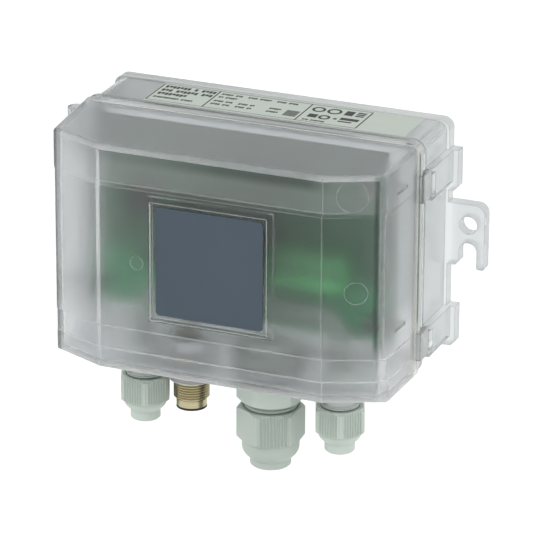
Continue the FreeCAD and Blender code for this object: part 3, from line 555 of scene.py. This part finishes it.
# A joint is a low cone of solder, its steeper top and the pin's end: start, height and two radii
joint_steps = ((0, 0.35, 0.95, 0.75), (0.35, 0.4, 0.75, 0.4), (0.75, 0.45, 0.32, 0.28))
joints = bmesh.new()
upright = Matrix.Rotation(-math.pi / 2, 4, "X")
for x, z in pins:
    for start, height, low_radius, high_radius in joint_steps:
        place = Matrix.Translation((x, board_rear + (start + height / 2) * mm, z)) @ upright
        bmesh.ops.create_cone(joints, cap_ends=True, segments=14, radius1=low_radius * mm,
                              radius2=high_radius * mm, depth=height * mm, matrix=place)
new_piece("solder_joints", joints, tin, "front")

# Chip resistors and capacitors on the rear of the board, black bodies with tinned ends.
# Rows: place across and up, pitch and number
chip_rows = [(-42, 26, 5.0, 7), (-42, 18, 5.0, 4), (22, 24, 4.4, 5), (-42, -4, 5.0, 5), (20, -18, 4.4, 6)]
chip_length = 1.4 * mm
chip_half_width = 0.6 * mm
chip_height = 0.55 * mm
end_length = 0.4 * mm
end_cover = 0.05 * mm
bodies = bmesh.new()
ends = bmesh.new()
for first, row_z, pitch, count in chip_rows:
    for i in range(count):
        left = (first + pitch * i) * mm
        right = left + chip_length
        low = row_z * mm - chip_half_width
        high = row_z * mm + chip_half_width
        add_block(bodies, (left, board_rear, low), (right, board_rear + chip_height, high))
        for start in (left - end_length, right):
            near = (start, board_rear, low - end_cover)
            far = (start + end_length, board_rear + chip_height + end_cover, high + end_cover)
            add_block(ends, near, far)
new_piece("chip_bodies", bodies, black_plastic, "front")
new_piece("chip_ends", ends, tin, "front")

# Pressure cell: a moulded plastic body on the board, dark grey-green with a fine grain. Two hoses
# lead from its nipples to the ports.
cell_plastic, tree = new_material("grey_moulded_plastic")
tint, sheen = mottle(tree, 3 * mm, "#2c3a32", "#36453c", 0.45, 0.6)
surface(tree, {"Base Color": tint, "Roughness": sheen, "Normal": grain(tree, 0.4 * mm, 0.02 * mm, 0.3)})
dress(cell_plastic, "pressure_cell")

# Terminal block, capacitors and chips, soldered to the front of the board. The block is moulded in
# green plastic, with painted shade on its upper half, and the capacitors wear black shrunk sleeves.
terminal_plastic, tree = new_material("green_terminal_plastic")
tint, sheen = mottle(tree, 3 * mm, "#34904f", "#3c9b58", 0.4, 0.55)
# Painted shade: the upper half of the block is darker
tint = tinted(tree, tint, "#1d5a31", zone(tree, "Z", -2 * mm, 6 * mm))
surface(tree, {"Base Color": tint, "Roughness": sheen, "Normal": grain(tree, 0.4 * mm, 0.02 * mm, 0.2)})
dress(terminal_plastic, "terminal_block")

# Terminal screws: their zinc plating as a darker copy, a painted shade, dull and a little cloudy
shaded_screw_zinc, tree = new_material("zinc_in_painted_shade")
tint, sheen = mottle(tree, 1.2 * mm, "#3c4541", "#4a544f", 0.35, 0.5)
surface(tree, {"Base Color": tint, "Metallic": 1.0, "Roughness": sheen})
dress(shaded_screw_zinc, "terminal_screws")

# Sleeve: thin glossy black vinyl, tight on the can
sleeve, tree = new_material("black_shrunk_sleeve")
tint, sheen = mottle(tree, 2.5 * mm, "#1c2220", "#262d2a", 0.28, 0.4)
surface(tree, {"Base Color": tint, "Roughness": sheen})
dress(sleeve, "capacitors")
dress(black_plastic, "board_chips")

# Pressure ports and cable gland: polyamide mouldings. The threaded parts sit tight in the housing,
# and their ribbed cap nuts are turned by hand or with a spanner. Black rubber rings seal them and
# the plug.
rubber, tree = new_material("black_rubber")
tint, sheen = mottle(tree, 1.5 * mm, "#141515", "#202222", 0.6, 0.8)
surface(tree, {"Base Color": tint, "Roughness": sheen, "Normal": grain(tree, 0.3 * mm, 0.02 * mm, 0.3)})
dress(rubber, "port_seal_left", "port_seal_right", "gland_washer", "gland_seal", "plug_washer")

# Light grey polyamide: even and matt, with painted shade in its grooves and inside the housing. The
# gland's nut has a darker copy of it, a painted shade
light_parts = ["port_stub_left", "port_stub_right", "port_nut_left", "port_nut_right", "gland_body"]
# The second copy is darker: painted shade on the gland's nut
lots = [
    ("grey_polyamide", "#cbd7ce", "#d4dfd6", light_parts),
    ("grey_polyamide_in_painted_shade", "#bbc7be", "#c4cfc6", ["gland_nut"]),
]
groove_width = 1.2 * mm
groove_shade = 0.62
housing_floor = -37.5 * mm
for name, low, high, parts in lots:
    polyamide, tree = new_material(name)
    tint, sheen = mottle(tree, 7 * mm, low, high, 0.42, 0.55)
    # Painted shade in the grooves and other hollows
    open_sky = add_node(tree, "ShaderNodeAmbientOcclusion", {"Distance": groove_width}, samples=8)
    groove = add_node(tree, "ShaderNodeMapRange", {
        "Value": open_sky.outputs["AO"], "From Min": 0.35, "From Max": 0.95, "To Min": groove_shade,
    }).outputs[0]
    tint = add_node(tree, "ShaderNodeVectorMath", {0: tint, "Scale": groove}, operation="SCALE").outputs[0]
    # Painted shade on the parts inside the housing
    tint = tinted(tree, tint, "#b0b9b3", zone(tree, "Z", housing_floor, housing_floor + 1 * mm))
    surface(tree, {"Base Color": tint, "Roughness": sheen, "Normal": grain(tree, 0.5 * mm, 0.02 * mm, 0.3)})
    dress(polyamide, *parts)

# Dark grey polyamide of the gland's locknut inside: even and matt
locknut_plastic, tree = new_material("dark_grey_polyamide")
tint, sheen = mottle(tree, 3 * mm, "#6f7a73", "#7b867f", 0.45, 0.6)
surface(tree, {"Base Color": tint, "Roughness": sheen, "Normal": grain(tree, 0.4 * mm, 0.02 * mm, 0.3)})
dress(locknut_plastic, "gland_locknut")

# Round plug connector: a shell turned from brass with a thin nickel flash, held by a nut inside.
# It carries a black insert with pins and four insulated leads to the board.
shell_low, shell_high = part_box("plug_shell")
plug_x = (shell_low.x + shell_high.x) / 2
plug_y = (shell_low.y + shell_high.y) / 2
bore_radius = 4.5 * mm
nose_radius = 5.2 * mm
nose_chamfer = 0.2 * mm
neck_length = 3.1 * mm
neck_groove = 0.5 * mm
groove_radius = 4.95 * mm
crest = 6.1 * mm
root = 5.55 * mm
shank_radius = 5.3 * mm
thread_pitch = 0.9 * mm
thread_turns = 7
thread_length = 6.6 * mm
thread_low = shell_low.z + neck_length
thread_high = thread_low + thread_length

# Nickel-flashed brass: pale yellow metal with lines from the lathe round its axis, which are drawn
# wider than the real ones so that they show
lathe_line = 0.6 * mm
brass, tree = new_material("nickel_flashed_brass")
place = add_node(tree, "ShaderNodeTexCoord").outputs["Object"]
drawn_out = add_node(tree, "ShaderNodeMapping", {"Vector": place, "Scale": (0.05, 0.05, 1.0)})
lathe = add_node(tree, "ShaderNodeTexNoise", {
    "Vector": drawn_out.outputs[0], "Scale": 1 / lathe_line, "Detail": 2.0,
}).outputs[0]
tint = tinted(tree, colour("#a3997a"), "#c4bc9f", lathe)
sheen = add_node(tree, "ShaderNodeMapRange", {"Value": lathe, "To Min": 0.18, "To Max": 0.3}).outputs[0]
surface(tree, {"Base Color": tint, "Metallic": 1.0, "Roughness": sheen})
dress(brass, "plug_shell", "plug_contacts")

# The shell from the nose up, as radius and height. A turn of the thread starts at its root, and its
# crest lies in the middle fifth of the pitch
section = [
    (bore_radius, shell_low.z), (nose_radius - nose_chamfer, shell_low.z),
    (nose_radius, shell_low.z + nose_chamfer), (nose_radius, thread_low - neck_groove),
    (groove_radius, thread_low - neck_groove), (groove_radius, thread_low),
]
turn_steps = ((root, 0.1), (crest, 0.4), (crest, 0.6))
for i in range(thread_turns):
    section += [(radius, thread_low + (i + step) * thread_pitch) for radius, step in turn_steps]
runout = thread_low + (thread_turns - 0.1) * thread_pitch
section += [
    (root, runout), (crest, runout + 0.1 * thread_pitch), (crest, thread_high), (shank_radius, thread_high),
    (shank_radius, shell_high.z), (bore_radius, shell_high.z),
]
shell = bmesh.new()
spin_section(shell, section, Vector((plug_x, plug_y, 0)), Vector((0, 0, 1)), Vector((1, 0, 0)), 72)
threaded_shell = new_piece("threaded_shell", shell, brass, "front")
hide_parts("plug_shell")
dress(black_plastic, "plug_insert")

# Wire insulation: soft grey vinyl with a low sheen
insulation, tree = new_material("wire_insulation")
tint, sheen = mottle(tree, 2 * mm, "#85827e", "#93908c", 0.4, 0.55)
surface(tree, {"Base Color": tint, "Roughness": sheen})
dress(insulation, "plug_leads")

# Studio: a pale paper floor below the wall-mounted object, two soft lamps and a white surround.
# Rays that see the floor or the surround directly find them white.
floor_drop = 90 * mm
floor_half = 3.0
floor_glow = 0.4
surround_light = 0.6
floor_z = cad_box[0].z - floor_drop
floor_shape = bmesh.new()
bmesh.ops.create_grid(floor_shape, x_segments=1, y_segments=1, size=floor_half,
                      matrix=Matrix.Translation((0, 0, floor_z)))
floor_mesh = bpy.data.meshes.new("floor")
floor_shape.to_mesh(floor_mesh)
floor_shape.free()
floor = bpy.data.objects.new("floor", floor_mesh)
bpy.context.scene.collection.objects.link(floor)


def seen_directly(tree):
    """One for rays from the camera, a mirroring or a see-through surface, otherwise zero."""
    path = add_node(tree, "ShaderNodeLightPath").outputs
    seen = path["Is Camera Ray"]
    for kind in ("Is Glossy Ray", "Is Transmission Ray"):
        seen = add_node(tree, "ShaderNodeMath", {0: seen, 1: path[kind]}, operation="MAXIMUM").outputs[0]
    return seen


# White paper: matt, nearly even
paper, tree = new_material("white_paper")
tint, sheen = mottle(tree, 40 * mm, "#f2f3f2", "#f6f7f6", 0.85, 0.95)
surface(tree, {
    "Base Color": tint,
    "Roughness": sheen,
    "Emission Color": colour("#ffffff"),
    "Emission Strength": product(tree, seen_directly(tree), floor_glow),
})
floor_mesh.materials.append(paper)

world = bpy.data.worlds.new("studio")
bpy.context.scene.world = world
world.use_nodes = True
tree = world.node_tree
tree.nodes.clear()
strength = add_node(tree, "ShaderNodeMapRange", {
    "Value": seen_directly(tree), "To Min": surround_light, "To Max": 1.0,
})
background = add_node(tree, "ShaderNodeBackground", {
    "Color": colour("#ffffff"), "Strength": strength.outputs[0],
})
add_node(tree, "ShaderNodeOutputWorld", {"Surface": background.outputs[0]})


def add_lamp(name, place, target, size, power):
    lamp = bpy.data.lights.new(name, "AREA")
    lamp.shape = "DISK"
    lamp.size = size
    lamp.energy = power
    holder = bpy.data.objects.new(name, lamp)
    aim = Vector(target) - Vector(place)
    holder.matrix_world = Matrix.Translation(place) @ aim.to_track_quat("-Z", "Y").to_matrix().to_4x4()
    bpy.context.scene.collection.objects.link(holder)


lamp_size = 0.7
middle = (cad_box[0] + cad_box[1]) / 2
add_lamp("key_lamp", (-0.8, -1.0, 1.0), middle, lamp_size, 6.0)
add_lamp("side_lamp", (1.2, -0.3, 0.5), middle, lamp_size, 4.0)

# Camera: where the photograph was taken from, above and to the right of the front, with a long
# lens, so that the object lies in the picture as it does in the photograph.
azimuth = math.radians(22.290)
elevation = math.radians(21.568)
roll = math.radians(0.2785)
camera_place = Vector((501.684, -1236.315, 504.011)) * mm
sensor_width = 36.0
focal_length = 280.44
lens = bpy.data.cameras.new("camera")
lens.sensor_width = sensor_width
lens.lens = focal_length
camera = bpy.data.objects.new("camera", lens)
turn = Matrix.Rotation(azimuth, 4, "Z") @ Matrix.Rotation(math.pi / 2 - elevation, 4, "X")
camera.matrix_world = Matrix.Translation(camera_place) @ turn @ Matrix.Rotation(roll, 4, "Z")
bpy.context.scene.collection.objects.link(camera)
bpy.context.scene.camera = camera
bpy.context.scene.view_settings.view_transform = "Standard"
